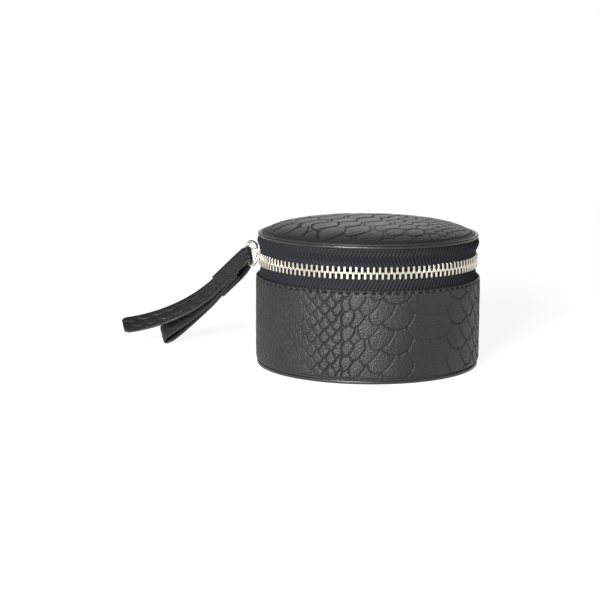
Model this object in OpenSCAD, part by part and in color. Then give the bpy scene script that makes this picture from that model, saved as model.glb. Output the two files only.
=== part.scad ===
// Round zip-around leather jewellery case with a lid hinged at the back.
// Millimetres. Origin at the centre of the underside, +Z up, hinge towards +Y.

/* [Case] */
// outer radius of the wrapped base wall
base_r = 52.5; // [50:0.5:56]
// height of the top edge of the base leather
base_h = 42; // [38:0.5:46]
// thickness of the leather skin
skin = 1.2; // [0.8:0.1:1.6]
// outer radius of the underside piece
foot_r = 52; // [50:0.5:55]

/* [Lid] */
// height of the top of the lid board
lid_z = 61.4; // [60:0.2:63]
// rise of the padded dome above the lid board
dome_h = 6.1; // [3:0.1:9]
// radius of the piping cord
piping_r = 0.95; // [0.7:0.05:1.2]

/* [Zip] */
// height of the centre line of the teeth
zip_z = 49.75; // [48:0.25:52]
// width of the closed chain
chain_w = 5.9; // [5:0.1:6.5]
// angle from one tooth to the next on one tape
tooth_step = 2.92; // [2.8:0.02:3.1]
// half of the angle covered by the leather hinge
hinge_half = 32; // [28:1:36]

/* [Slider] */
// length of the slider plates along the chain
slider_l = 12; // [10:0.5:14]
// height of the slider plates
slider_h = 9.4; // [8.6:0.1:9.6]

/* [Strap] */
// width of the strap
strap_w = 9.6; // [8:0.1:11]
// length of the sewn part, from ring to step
sewn_l = 24.5; // [22:0.5:30]
// length of the free tail past the step
tail_l = 52.5; // [40:0.5:56]

/* [Hidden] */
$fn = 96;

skin_in = base_r - skin;         // inside of the base leather
board_in = 48.9;                 // inside of both wall boards
lining_in = 48.1;                // inside of both wall linings
board_top = 44.2;                // top edge of the base wall
foot_t = 1.7;                    // underside piece
floor_z = 3.7;                   // top of the floor board
lining_z = 4.7;                  // top of the floor lining
pocket_z = 34.5;                 // bottom of the rebate the tape is glued in
tape_out = 50.5;                 // outside of the tape beside the teeth
tape_in = 49.7;                  // inside of the tape beside the teeth
tooth_out = 51.3;
tooth_in = 48.8;
tooth_w = 1.1;
tooth_lap = 0.6;                 // how far a tooth reaches past the centre line
head_h = 1.75;                   // solid end of a tooth
leg_gap = 0.02;
zip_a = 90 + hinge_half;         // first angle of the open run of tape
zip_run = 360 - 2 * hinge_half;
end_run = 17;                    // tape that bends with the hinge at each end
first_tooth = 127.5;
teeth = 98;
slot_h = 4.9;                    // tape stays straight this far from the centre line
lid_under = 59.9;                // underside of the lid board
lid_wall_z = 56.2;
dome_r = 49.5;
slider_a = 129.5;                // slider at the closed end
plate_in = 51.5;
plate_out = 52.45;
back_in = 47.2;
back_out = 48.1;
bail_out = 56.6;
ring_at = [-36.99, 46.52, 47.83]; // middle of the straight bar of the ring
ring_turn = [-60.51, 33.64, 114.17];
strap_turn = [31.04, 41.88, 116.39];
wire_r = 0.7;
bar_half = 4.75;
bend_r = 2;
ring_depth = 6.6;
bow_r = (pow(ring_depth - bend_r, 2) + pow(bar_half, 2) - pow(bend_r, 2)) / (2 * (ring_depth - 2 * bend_r));
wrap_w = strap_w + 0.3;
ply = 1.2;
bend_tail = 55;                  // radius the tail has curled to

leather_c = [0.12, 0.12, 0.13];
fabric_c = [0.42, 0.40, 0.38];
board_c = [0.55, 0.48, 0.38];
tape_c = [0.08, 0.09, 0.14];
metal_c = [0.78, 0.76, 0.72];

module band(ri, ro, z0, z1) {
  translate([0, 0, z0]) difference() {
    cylinder(r = ro, h = z1 - z0);
    translate([0, 0, -1]) cylinder(r = ri, h = z1 - z0 + 2);
  }
}

module sweep(a0, run) rotate([0, 0, a0]) rotate_extrude(angle = run) children();

module bottom_leather() color(leather_c) cylinder(r = foot_r, h = foot_t);

module base_floor_board() color(board_c)
  translate([0, 0, foot_t]) cylinder(r = board_in, h = floor_z - foot_t);

module base_wall_board() color(board_c) rotate_extrude() polygon([
  [board_in, foot_t], [skin_in, foot_t], [skin_in, pocket_z], [skin_in - 0.7, pocket_z],
  [skin_in - 0.7, base_h - 0.2], [49.6, base_h - 0.2], [49.6, board_top], [board_in, board_top]]);

module base_wall_leather() color(leather_c) rotate_extrude() polygon([
  [skin_in, foot_t + 0.6], [base_r, foot_t + 0.6], [base_r, base_h - 0.5],
  [base_r - 0.35, base_h], [skin_in + 0.3, base_h], [skin_in, base_h - 0.3]]);

module base_stitching() color(tape_c) for (i = [0:89]) rotate([0, 0, 0.8 + i * 4])
  translate([base_r, -1, base_h - 1.3]) cube([0.25, 2, 0.5]);

module base_wall_lining() color(fabric_c) band(lining_in, board_in, floor_z, board_top);

module base_floor_lining() color(fabric_c)
  translate([0, 0, floor_z]) cylinder(r = lining_in, h = lining_z - floor_z);

div_y = 8;                       // middle of the long divider
div_t = 2.4;
div_top = 38;

module divider_long() color(fabric_c)
  translate([-47, div_y - div_t / 2, lining_z]) cube([94, div_t, div_top - lining_z]);

module divider_cross() color(fabric_c)
  translate([-div_t / 2, -48, lining_z]) cube([div_t, 48 + div_y - div_t / 2, div_top - lining_z]);

bed_top = 26.2;
roll_w = 10.8;
module ring_bed() color(fabric_c) translate([0, 0, lining_z]) linear_extrude(bed_top - lining_z)
  intersection() {
    circle(r = lining_in - 0.1);
    translate([-50, div_y + div_t / 2]) square([100, 50]);
  }

module ring_roll(y, half) color(fabric_c) translate([-half, y, bed_top]) rotate([90, 0, 90])
  linear_extrude(2 * half) union() {
    translate([0, roll_w / 2]) circle(r = roll_w / 2);
    translate([-roll_w / 2, 0]) square([roll_w, roll_w / 2]);
  }
module ring_roll_front() ring_roll(div_y + 6.8, 42);
module ring_roll_middle() ring_roll(div_y + 17.9, 35);
module ring_roll_back() ring_roll(div_y + 29, 20);

module zip_tape_lower() color(tape_c) sweep(zip_a, zip_run) polygon([
  [skin_in - 0.7, pocket_z + 0.2], [skin_in, pocket_z + 0.2], [skin_in, base_h],
  [tape_out, zip_z - slot_h], [tape_out, zip_z - 1.2], [tape_in, zip_z - 1.2],
  [tape_in, zip_z - slot_h], [skin_in - 0.7, base_h]]);

module upper_tape() polygon([
  [tape_in, zip_z + 1.2], [tape_out, zip_z + 1.2], [tape_out, zip_z + slot_h], [52.2, 57.4],
  [51.4, lid_under], [50.6, lid_under], [51.4, 57.4], [tape_in, zip_z + slot_h]]);

module zip_tape_upper() color(tape_c) sweep(zip_a + end_run, zip_run - 2 * end_run) upper_tape();
module tape_end_left() color(tape_c) sweep(zip_a, end_run) upper_tape();
module tape_end_right() color(tape_c) sweep(90 - hinge_half - end_run, end_run) upper_tape();

module tooth() translate([0, tooth_w / 2, 0]) rotate([90, 0, 0]) linear_extrude(tooth_w) polygon([
  [tape_out + leg_gap, -chain_w / 2], [tooth_out, -chain_w / 2],
  [tooth_out, tooth_lap], [tooth_in, tooth_lap], [tooth_in, -chain_w / 2],
  [tape_in - leg_gap, -chain_w / 2], [tape_in - leg_gap, tooth_lap - head_h],
  [tape_out + leg_gap, tooth_lap - head_h]]);

module zip_teeth_lower() color(metal_c) for (i = [0:teeth - 1])
  rotate([0, 0, first_tooth + i * tooth_step]) translate([0, 0, zip_z]) tooth();

module zip_teeth_upper() color(metal_c) for (i = [0:teeth - 1])
  rotate([0, 0, first_tooth + (i + 0.5) * tooth_step])
    translate([0, 0, zip_z]) mirror([0, 0, 1]) tooth();

module zip_end_stop() color(metal_c) rotate([0, 0, first_tooth + teeth * tooth_step + 1.6])
  translate([tape_out + 0.05, -1.2, zip_z - 3.6]) cube([0.9, 2.4, 2.2]);

module hinge_leather() color(leather_c) sweep(90 - hinge_half + 0.3, 2 * hinge_half - 0.6) polygon([
  [skin_in - 0.7, pocket_z + 0.2], [skin_in, pocket_z + 0.2], [skin_in, base_h],
  [51.8, base_h + 0.3], [51.8, lid_under - 0.2], [50.6, lid_under - 0.2]]);

module hinge_lining() color(fabric_c) sweep(90 - hinge_half + 0.3, 2 * hinge_half - 0.6)
  translate([49.7, board_top]) square([0.8, lid_wall_z - board_top]);

module lid_board() color(board_c) translate([0, 0, lid_under]) cylinder(r = dome_r, h = lid_z - lid_under);
module lid_wall_board() color(board_c) band(board_in, tape_out, lid_wall_z, lid_under);

function dome(r, rim, rise) = rise * (1 - pow(r / rim, 5));
module lid_padding() color(fabric_c) translate([0, 0, lid_z]) rotate_extrude() polygon(concat(
  [[0, 0]], [for (i = [12:-1:0]) [i * 4, dome(i * 4, 48.2, dome_h - skin)]]));

module lid_leather() color(leather_c) translate([0, 0, lid_z]) rotate_extrude() polygon(concat(
  [for (i = [0:12]) [i * 4, dome(i * 4, 48.2, dome_h - skin)]], [[48.2, 0], [dome_r, 0]],
  [for (i = [12:-1:0]) [i * 4.1, dome(i * 4.1, 50.6, dome_h)]]));

module lid_piping() color(leather_c) translate([0, 0, lid_under + piping_r + 0.1])
  rotate_extrude() translate([51.5 - piping_r, 0]) circle(r = piping_r, $fn = 24);

module lid_lining() color(fabric_c) translate([0, 0, 59.1]) cylinder(r = board_in, h = 0.8);
module lid_wall_lining() color(fabric_c) band(lining_in, board_in, 55.3, 59.1);
module mirror_frame() color(leather_c) band(38, 42, 57.6, 59.1);
module mirror_glass() color(metal_c) translate([0, 0, 58.1]) cylinder(r = 37.9, h = 1);

module at_slider() rotate([0, 0, slider_a]) translate([0, 0, zip_z]) children();
module plate(x0, x1) translate([x0, -slider_l / 2, -slider_h / 2]) cube([x1 - x0, slider_l, slider_h]);
module flange(x0, x1) for (s = [-1, 1])
  translate([x0, -slider_l / 2, s * (slider_h / 2 - 0.3) - 0.3]) cube([x1 - x0, slider_l, 0.6]);

module slider_body() color(metal_c) at_slider() union() {
  plate(plate_in, plate_out);
  plate(back_in, back_out);
  flange(50.95, plate_in + 0.1);
  flange(back_out - 0.1, 49);
  translate([back_out - 0.1, -slider_l / 2, -1.1]) cube([plate_in - back_out + 0.2, 3, 2.2]);
}

module slider_bail() color(metal_c) at_slider() translate([0, 0.4, 1.2]) linear_extrude(1.9, center = true)
  difference() {
    union() {
      translate([plate_out, -4.1]) square([bail_out - plate_out - 1.4, 8.2]);
      for (s = [-1, 1]) translate([bail_out - 1.5, s * 2.6]) circle(r = 1.5);
      translate([bail_out - 2, -2.6]) square([2, 5.2]);
    }
    translate([plate_out - 1, -2.9]) square([bail_out - plate_out + 0.1, 5.8]);
  }

module at_ring() translate(ring_at) rotate(ring_turn) children();
bow_x = bow_r - ring_depth;
bow_a = atan2(bar_half, bow_x + bend_r);
// the bar and the bow are a hair thinner than the bends they run into, so the joints close
thin_r = wire_r - 0.03;
module arc(w, r, a0, run) rotate([0, 0, a0]) rotate_extrude(angle = run) translate([r, 0]) circle(r = w, $fn = 32);

module pull_ring() color(metal_c) at_ring() {
  rotate([90, 0, 0]) cylinder(r = thin_r, h = 2 * bar_half + 0.8, center = true, $fn = 32);
  translate([-bend_r, bar_half, 0]) arc(wire_r, bend_r, 0, 180 - bow_a);
  translate([-bend_r, -bar_half, 0]) arc(wire_r, bend_r, 180 + bow_a, 180 - bow_a);
  translate([bow_x, 0, 0]) arc(thin_r, bow_r, 177 - bow_a, 2 * bow_a + 6);
}

module at_strap() translate(ring_at) rotate(strap_turn) children();
module cut(w) at_strap() linear_extrude(w, center = true) children();

nose_out = 1.75;                 // outside of the fold round the ring's bar
nose_in = 1;
// the bar leans a little across the strap, so the fold reaches past it
function nose(r) = [for (a = [90:10:270]) [r * cos(a) - 0.65, r * sin(a)]];
module strap_wrap() color(leather_c) cut(wrap_w) difference() {
  polygon(concat([[sewn_l, 2.1], [7, 2.1], [3, 1.95]], nose(nose_out),
    [[3, -2.8], [6, -3.5], [10, -3.95], [sewn_l, -3.95]]));
  polygon(concat([[sewn_l + 1, 1.3], [7, 1.3], [3, 1.15]], nose(nose_in),
    [[3, -2], [6, -2.7], [10, -3.15], [sewn_l + 1, -3.15]]));
}

tail_top = 1.28;
function bend(r, a) = [sewn_l - 1 + r * sin(a), tail_top - ply / 2 + bend_tail - r * cos(a)];
tail_a = tail_l / bend_tail * 180 / PI;
module strap_tail() color(leather_c) cut(strap_w) polygon(concat(
  [[8, tail_top], [8, tail_top - ply]],
  [for (i = [0:20]) bend(bend_tail + ply / 2, tail_a * i / 20)],
  [for (i = [20:-1:0]) bend(bend_tail - ply / 2, tail_a * i / 20)]));

module strap_loop() color(leather_c) cut(strap_w) difference() {
  polygon([[11, -3.07], [24, -3.1], [32, -4], [38, -4], [47, -3.85], [56, -3.4], [62.5, -2.7],
    [64.8, -2], [66.2, -1], [66.8, 0.1], [66.5, 1.4], [65.7, 2.3], [64.3, 2.8], [62, 2.7],
    [59, 2.3], [54, 1.2], [49, 0], [44, -0.65], [38, -1.15], [32, -1.3], [24, -0.8], [18, 0],
    [11, 0]]);
  polygon([[34, -2.75], [38, -2.8], [47, -2.65], [56, -2.2], [62.2, -1.55], [64.2, -0.9],
    [65.4, 0], [65.5, 0.8], [65, 1.4], [64, 1.6], [62, 1.5], [59, 1.1], [54, 0], [49, -1.2],
    [44, -1.85], [38, -2.35], [34, -2.6]]);
}

module strap_stitching() color(tape_c) at_strap() for (side = [-1, 1], i = [0:5]) {
  translate([7.6 + i * 2.9, 2.1, side * (wrap_w / 2 - 1.3) - 0.25]) cube([1.8, 0.25, 0.5]);
  translate([10.4 + i * 2.4, -4.2, side * (wrap_w / 2 - 1.3) - 0.25]) cube([1.6, 0.25, 0.5]);
}

bottom_leather();
base_floor_board();
base_wall_board();
base_wall_leather();
base_stitching();
base_wall_lining();
base_floor_lining();
divider_long();
divider_cross();
ring_bed();
ring_roll_front();
ring_roll_middle();
ring_roll_back();
zip_tape_lower();
zip_teeth_lower();
zip_end_stop();
hinge_leather();
hinge_lining();
lid_board();
lid_wall_board();
lid_padding();
lid_leather();
lid_piping();
lid_lining();
lid_wall_lining();
mirror_frame();
mirror_glass();
zip_tape_upper();
zip_teeth_upper();
tape_end_left();
tape_end_right();
slider_body();
slider_bail();
pull_ring();
strap_wrap();
strap_tail();
strap_loop();
strap_stitching();
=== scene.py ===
import math
import random

import bmesh
import bpy
import numpy as np
from mathutils import Euler, Matrix, Vector


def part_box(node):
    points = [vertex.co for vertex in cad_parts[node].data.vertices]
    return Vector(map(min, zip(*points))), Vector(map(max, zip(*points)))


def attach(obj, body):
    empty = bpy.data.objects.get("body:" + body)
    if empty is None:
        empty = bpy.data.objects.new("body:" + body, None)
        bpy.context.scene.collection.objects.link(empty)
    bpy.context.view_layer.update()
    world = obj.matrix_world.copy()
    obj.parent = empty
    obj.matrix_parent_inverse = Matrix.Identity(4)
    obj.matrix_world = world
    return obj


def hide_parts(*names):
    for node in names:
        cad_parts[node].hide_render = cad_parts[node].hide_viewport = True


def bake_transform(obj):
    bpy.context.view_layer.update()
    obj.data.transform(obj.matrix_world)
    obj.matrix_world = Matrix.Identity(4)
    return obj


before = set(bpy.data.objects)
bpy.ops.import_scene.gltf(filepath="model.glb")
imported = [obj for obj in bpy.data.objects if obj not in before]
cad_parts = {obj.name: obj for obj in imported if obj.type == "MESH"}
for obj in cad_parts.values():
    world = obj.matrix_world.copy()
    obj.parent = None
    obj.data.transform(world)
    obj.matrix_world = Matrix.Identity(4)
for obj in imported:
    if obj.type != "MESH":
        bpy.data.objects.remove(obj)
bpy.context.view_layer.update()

MM = 0.001
TAU = 2 * math.pi
rng = random.Random(7)


# ---------------------------------------------------------------- sizes, in millimetres
def size_of(node):
    """Lowest and highest corner of a CAD node, in millimetres."""
    lo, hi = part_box(node)
    return np.array(lo) / MM, np.array(hi) / MM


WALL_LO, WALL_HI = size_of("base_wall_leather")
BASE_R = WALL_HI[0]                       # outside of the base leather
BASE_Z0, BASE_Z1 = WALL_LO[2], WALL_HI[2]
PIPE_LO, PIPE_HI = size_of("lid_piping")
RIM_R, RIM_Z0, RIM_Z1 = PIPE_HI[0], PIPE_LO[2], PIPE_HI[2]
LEATHER_LO, LEATHER_HI = size_of("lid_leather")
DOME_R, DOME_Z0, DOME_Z1 = LEATHER_HI[0], LEATHER_LO[2], LEATHER_HI[2]
FOOT_R, FOOT_T = size_of("bottom_leather")[1][[0, 2]]
ZIP_Z = 49.75                             # middle of the chain of teeth
TAPE_IN, TAPE_OUT = 49.7, 50.5            # radii of the tape's two faces
TOOTH_IN, TOOTH_OUT = 48.8, 51.3          # radii of a tooth's two faces
HINGE_HALF = 32.0                         # half of the angle the leather hinge covers
OPEN_A, OPEN_RUN = 90 + HINGE_HALF, 360 - 2 * HINGE_HALF
END_RUN = 17.0                            # angle of each end of the upper tape, over the hinge
FIRST_TOOTH, TOOTH_STEP, TEETH = 127.5, 2.92, 98
RING_AT = np.array([-36.99, 46.52, 47.83])
RING_TURN = (-60.51, 33.64, 114.17)
RING_BAR, RING_BEND, RING_DEPTH, RING_WIRE = 4.75, 2.0, 6.6, 0.7
STRAP_TURN = (31.04, 41.88, 116.39)
STRAP_W = 9.6
SEWN, TAIL, TAIL_BEND = 24.5, 52.5, 55.0  # length sewn, length of the free tail, radius of its curl
FOLD_LEAN = 0.141                         # how far the ring's bar leans across the strap
BELLY_A = 267.1                           # polar angle of the middle of the belly scales
STITCHES, STITCH_A0, STITCH_Z = 90, 0.8, BASE_Z1 - 1.05
LINING_R = 48.1                           # inner radius of the suede on the walls
MIRROR_R, FRAME_STITCHES = 38.0, 84
DEPTH = 2.0                               # how much deeper the embossing is than its numbers below
LID_ROWS = 64.0                           # turn of the lid's rows of scales from the camera's right
CAM_AZ, CAM_EL, CAM_DIST = -36.0, 9.4, 0.7733
SKY = 0.08                                # grey of the studio overhead


# ---------------------------------------------------------------- mesh helpers
def link(obj):
    bpy.context.scene.collection.objects.link(obj)
    return obj


def raw_mesh(name, verts, faces, smooth=True):
    """A mesh object from vertices in millimetres and a list of faces, with every face turned outward."""
    me = bpy.data.meshes.new(name)
    me.from_pydata((np.asarray(verts) * MM).tolist(), [], faces)
    me.polygons.foreach_set("use_smooth", [smooth] * len(me.polygons))
    bm = bmesh.new()
    bm.from_mesh(me)
    bmesh.ops.recalc_face_normals(bm, faces=bm.faces)
    bm.to_mesh(me)
    bm.free()
    return link(bpy.data.objects.new(name, me))


def grid_faces(nu, nv, wrap_u, wrap_v, start=0):
    """The quads of a grid of nu by nv points, which may close on itself either way."""
    i = np.arange(nu if wrap_u else nu - 1)
    j = np.arange(nv if wrap_v else nv - 1)
    i, j = np.meshgrid(i, j, indexing="ij")
    i2, j2 = (i + 1) % nu, (j + 1) % nv
    quads = np.stack([i * nv + j, i2 * nv + j, i2 * nv + j2, i * nv + j2], -1)
    return (quads.reshape(-1, 4) + start).tolist()


def grid(name, pts, wrap_u=False, wrap_v=False, caps=False, flip=False):
    """A mesh from a grid of points. caps closes a tube, flip splits the quads on their other diagonal."""
    nu, nv = pts.shape[:2]
    faces = grid_faces(nu, nv, wrap_u, wrap_v)
    if caps:
        faces.append(list(range(nv - 1, -1, -1)))
        faces.append([(nu - 1) * nv + k for k in range(nv)])
    if flip:
        faces = [f[::-1] for f in faces]
    return raw_mesh(name, pts.reshape(-1, 3), faces)


def lathe(name, profile, angles, closed, push=None):
    """Sweeps a closed (r, z) profile round Z. push moves each point out along the profile's normal."""
    prof = np.asarray(profile, float)
    nxt, prv = np.roll(prof, -1, 0), np.roll(prof, 1, 0)
    tan = nxt - prv
    nrm = np.stack([tan[:, 1], -tan[:, 0]], 1)
    nrm /= np.linalg.norm(nrm, axis=1, keepdims=True) + 1e-9
    a = np.radians(np.asarray(angles, float))
    r = np.repeat(prof[None, :, 0], len(a), 0)
    z = np.repeat(prof[None, :, 1], len(a), 0)
    if push is not None:
        r = r + push * nrm[None, :, 0]
        z = z + push * nrm[None, :, 1]
    pts = np.stack([r * np.cos(a)[:, None], r * np.sin(a)[:, None], z], -1)
    return grid(name, pts, wrap_u=closed, wrap_v=True, caps=not closed)


def place(pts, turn):
    """Turns points by three angles in degrees and moves them to the middle of the ring's bar."""
    rot = np.array(Euler([math.radians(t) for t in turn], "XYZ").to_matrix())
    return (pts.reshape(-1, 3) @ rot.T + RING_AT).reshape(pts.shape)


def arc_points(cx, cy, r, a0, a1, n):
    t = np.radians(np.linspace(a0, a1, n))
    return [(cx + r * math.cos(q), cy + r * math.sin(q)) for q in t]


def smooth_path(points, step=0.35, rounds=8, count=None):
    """Points spaced evenly along a path, about a step apart, with its corners softened."""
    c = np.asarray(points, float)
    seg = np.concatenate([[0], np.cumsum(np.linalg.norm(np.diff(c, axis=0), axis=1))])
    s = np.linspace(0, seg[-1], count or max(8, int(seg[-1] / step)))
    p = np.stack([np.interp(s, seg, c[:, k]) for k in range(c.shape[1])], 1)
    for _ in range(rounds):
        p[1:-1] = (p[:-2] + 2 * p[1:-1] + p[2:]) / 4
    return p


def tube(path, radius, sides, closed=False):
    """The points of a round tube along a path, for join_grids."""
    p = np.asarray(path, float)
    t = np.roll(p, -1, 0) - np.roll(p, 1, 0) if closed else np.gradient(p, axis=0)
    t /= np.linalg.norm(t, axis=1, keepdims=True)
    side = np.cross(t, (0.0, 0.0, 1.0))
    side /= np.linalg.norm(side, axis=1, keepdims=True)
    top = np.cross(side, t)
    radius = np.broadcast_to(np.asarray(radius, float), (len(p),))
    a = np.arange(sides) / sides * TAU
    pts = (p[:, None] + radius[:, None, None] * (side[:, None] * np.cos(a)[None, :, None]
                                                 + top[:, None] * np.sin(a)[None, :, None]))
    return pts, closed


def join_grids(name, tubes):
    """One mesh out of many tubes, with their open ends closed."""
    verts, faces, n = [], [], 0
    for pts, closed in tubes:
        nu, nv = pts.shape[:2]
        verts.append(pts.reshape(-1, 3))
        faces += grid_faces(nu, nv, closed, True, n)
        if not closed:
            faces.append([n + k for k in range(nv - 1, -1, -1)])
            faces.append([n + (nu - 1) * nv + k for k in range(nv)])
        n += nu * nv
    return raw_mesh(name, np.concatenate(verts), faces)


def finish_piece(obj, body, material, replaces=()):
    """Gives a piece its material, slot, body and CAD nodes. With no body, the piece stays unattached."""
    obj.data.materials.clear()
    obj.data.materials.append(material)
    if body:
        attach(obj, body)
    if replaces:
        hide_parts(*replaces)
    return obj


def cast_copy(node, name, body):
    """A cast metal part on the CAD node's shape, with its sharp edges rounded."""
    bm = bmesh.new()
    bm.from_mesh(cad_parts[node].data)
    bm.transform(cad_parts[node].matrix_world)
    bmesh.ops.remove_doubles(bm, verts=bm.verts, dist=0.004 * MM)
    bmesh.ops.dissolve_limit(bm, angle_limit=math.radians(2), verts=bm.verts, edges=bm.edges)
    sharp = [e for e in bm.edges if len(e.link_faces) == 2 and e.calc_face_angle(0.0) > math.radians(25)]
    bmesh.ops.bevel(bm, geom=sharp, offset=0.3 * MM, segments=3, profile=0.5, affect="EDGES",
                    clamp_overlap=True)
    bmesh.ops.recalc_face_normals(bm, faces=bm.faces)
    me = bpy.data.meshes.new(name)
    bm.to_mesh(me)
    bm.free()
    obj = link(bpy.data.objects.new(name, me))
    return finish_piece(obj, body, M_METAL, [node])


# ---------------------------------------------------------------- materials
class Nodes:
    """Short way to write a node tree."""

    def __init__(self, name):
        self.mat = bpy.data.materials.new(name)
        self.mat.use_nodes = True
        self.tree = self.mat.node_tree
        self.bsdf = self.tree.nodes["Principled BSDF"]
        self.coord = self.tree.nodes.new("ShaderNodeTexCoord").outputs["Object"]

    def add(self, kind, inputs=None, **attrs):
        node = self.tree.nodes.new(kind)
        for k, v in attrs.items():
            setattr(node, k, v)
        for k, v in (inputs or {}).items():
            if isinstance(v, bpy.types.NodeSocket):
                self.tree.links.new(v, node.inputs[k])
            else:
                node.inputs[k].default_value = v
        return node

    def noise(self, scale, detail=3, rough=0.5, distortion=0.0):
        ins = {"Vector": self.coord, "Scale": scale, "Detail": detail, "Roughness": rough,
               "Distortion": distortion}
        return self.add("ShaderNodeTexNoise", ins).outputs["Fac"]

    def voronoi(self, scale):
        return self.add("ShaderNodeTexVoronoi", {"Vector": self.coord, "Scale": scale}).outputs["Distance"]

    def math(self, op, a, b=0.0, clamp=False):
        return self.add("ShaderNodeMath", {0: a, 1: b}, operation=op, use_clamp=clamp).outputs[0]

    def ramp(self, fac, stops):
        node = self.add("ShaderNodeValToRGB", {"Fac": fac})
        el = node.color_ramp.elements
        while len(el) < len(stops):
            el.new(0.5)
        for e, (pos, col) in zip(el, stops):
            e.position = pos
            e.color = (*col, 1) if isinstance(col, tuple) else (col, col, col, 1)
        return node.outputs["Color"]

    def mix(self, fac, a, b):
        """Mixes two colours. The node has sockets of the same names for other types, so they go by type."""
        node = self.add("ShaderNodeMix", {"Factor": fac}, data_type="RGBA")
        for k, v in (("A", a), ("B", b)):
            sock = [s for s in node.inputs if s.name == k and s.type == "RGBA"][0]
            if isinstance(v, bpy.types.NodeSocket):
                self.tree.links.new(v, sock)
            else:
                sock.default_value = (*v, 1)
        return [s for s in node.outputs if s.type == "RGBA"][0]

    def spread(self, fac, lo, hi):
        return self.add("ShaderNodeMapRange", {"Value": fac, "To Min": lo, "To Max": hi}).outputs[0]

    def groove(self):
        """The painted-shade mask that store_painted_shade wrote on the mesh: 1 at the bottom of a groove."""
        return self.add("ShaderNodeAttribute", attribute_name="groove").outputs["Fac"]

    def bump(self, height, strength, distance):
        return self.add("ShaderNodeBump", {"Height": height, "Strength": strength,
                                           "Distance": distance}).outputs["Normal"]

    def set(self, **values):
        """Sets or links the shader's own sockets, and returns the finished material."""
        for k, v in values.items():
            sock = self.bsdf.inputs[k.replace("_", " ")]
            if isinstance(v, bpy.types.NodeSocket):
                self.tree.links.new(v, sock)
            else:
                sock.default_value = (*v, 1) if isinstance(v, tuple) and len(v) == 3 else v
        return self.mat


def darker(colour, share):
    return tuple(c * share for c in colour)


def leather(name, dark, light, rough, strength, gloss, grain=1150, painted_groove_shade=True):
    """Leather with pores, creases, a fine grain and a mottled tone, with painted shade in the embossed
    grooves.
    """
    n = Nodes(name)
    pores = n.voronoi(grain)
    fine = n.noise(grain * 2.1, 4, 0.6)
    creases = n.noise(grain * 0.45, 2, 0.5, distortion=1.2)
    height = n.math("ADD", n.math("MULTIPLY", pores, 0.8), n.math("MULTIPLY", fine, 0.45))
    height = n.math("ADD", height, n.math("MULTIPLY", creases, 0.7))
    colour = n.mix(n.ramp(n.noise(38, 3, 0.55), [(0.3, 0.0), (0.7, 1.0)]), dark, light)
    colour = n.mix(n.ramp(pores, [(0.0, 0.0), (0.5, 0.35)]), colour, darker(dark, 0.45))
    roughness = n.spread(n.noise(300, 2), *rough)
    if painted_groove_shade:
        # Painted shade: where the mesh's groove mask is set, the colour turns nearly black and the leather
        # rougher.
        groove = n.groove()
        colour = n.mix(groove, colour, darker(dark, 0.06))
        roughness = n.math("ADD", roughness, n.math("MULTIPLY", groove, 0.35), clamp=True)
    return n.set(Base_Color=colour, Roughness=roughness, Normal=n.bump(height, strength, 0.00045),
                 Specular_IOR_Level=gloss)


def woven(name, dark, light, scale=2400, rough=0.85, sheen=0.0):
    """Fibres, with painted shade between the ribs where the groove mask is set."""
    n = Nodes(name)
    fibres = n.noise(scale, 3, 0.7)
    # Painted shade: the colour darkens between the ribs through the groove mask.
    colour = n.mix(n.groove(), n.mix(fibres, dark, light), darker(dark, 0.12))
    return n.set(Base_Color=colour, Roughness=rough, Sheen_Weight=sheen, Sheen_Roughness=0.4,
                 Specular_IOR_Level=0.2, Normal=n.bump(fibres, 0.6, 0.00012))


def suede(name, dark, light):
    """A short nap, brushed one way here and the other way there."""
    n = Nodes(name)
    nap = n.noise(3200, 4, 0.75)
    brushed = n.noise(70, 3, 0.6)
    colour = n.mix(n.ramp(brushed, [(0.35, 0.0), (0.65, 1.0)]), dark, light)
    return n.set(Base_Color=colour, Roughness=0.95, Sheen_Weight=0.6, Sheen_Roughness=0.5,
                 Normal=n.bump(nap, 0.8, 0.00015))


def nickel(name, colour, rough):
    """Plated metal with faint scratches."""
    n = Nodes(name)
    scratch = n.noise(900, 3, 0.6, distortion=0.6)
    tone = n.mix(n.ramp(n.noise(160, 2), [(0.3, 0.0), (0.75, 1.0)]), colour, darker(colour, 0.93))
    return n.set(Base_Color=tone, Metallic=1.0, Roughness=n.spread(scratch, *rough),
                 Normal=n.bump(scratch, 0.08, 0.00002))


def plain(name, dark, light, scale, rough, **more):
    """Two close tones and a faint bump from one noise."""
    n = Nodes(name)
    f = n.noise(scale, 3, 0.6)
    return n.set(Base_Color=n.mix(f, dark, light), Roughness=rough, Normal=n.bump(f, 0.3, 0.0001), **more)


M_WALL = leather("wall_leather", (0.009, 0.009, 0.010), (0.017, 0.017, 0.0195), rough=(0.42, 0.56),
                 gloss=0.38, strength=0.62)
M_LID = leather("lid_leather", (0.010, 0.010, 0.010), (0.017, 0.017, 0.017), rough=(0.42, 0.56),
                gloss=0.46, strength=0.34)
M_EDGE = leather("edge_leather", (0.010, 0.010, 0.011), (0.017, 0.017, 0.018), rough=(0.3, 0.42), gloss=0.5,
                 strength=0.2, painted_groove_shade=False)
M_STRAP = leather("strap_leather", (0.008, 0.008, 0.009), (0.015, 0.015, 0.016), rough=(0.36, 0.5),
                  gloss=0.42, strength=0.34)
M_TAPE = woven("zip_tape", (0.006, 0.0065, 0.010), (0.023, 0.025, 0.034), rough=0.7)
M_METAL = nickel("warm_nickel", (0.68, 0.64, 0.55), rough=(0.24, 0.34))
M_THREAD = woven("thread", (0.004, 0.004, 0.005), (0.012, 0.012, 0.013), scale=4000, sheen=0.05)
M_SUEDE = suede("suede_lining", (0.045, 0.042, 0.04), (0.085, 0.08, 0.076))
M_BOARD = plain("stiffening_board", (0.018, 0.018, 0.018), (0.03, 0.03, 0.03), 500, 0.9)
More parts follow.
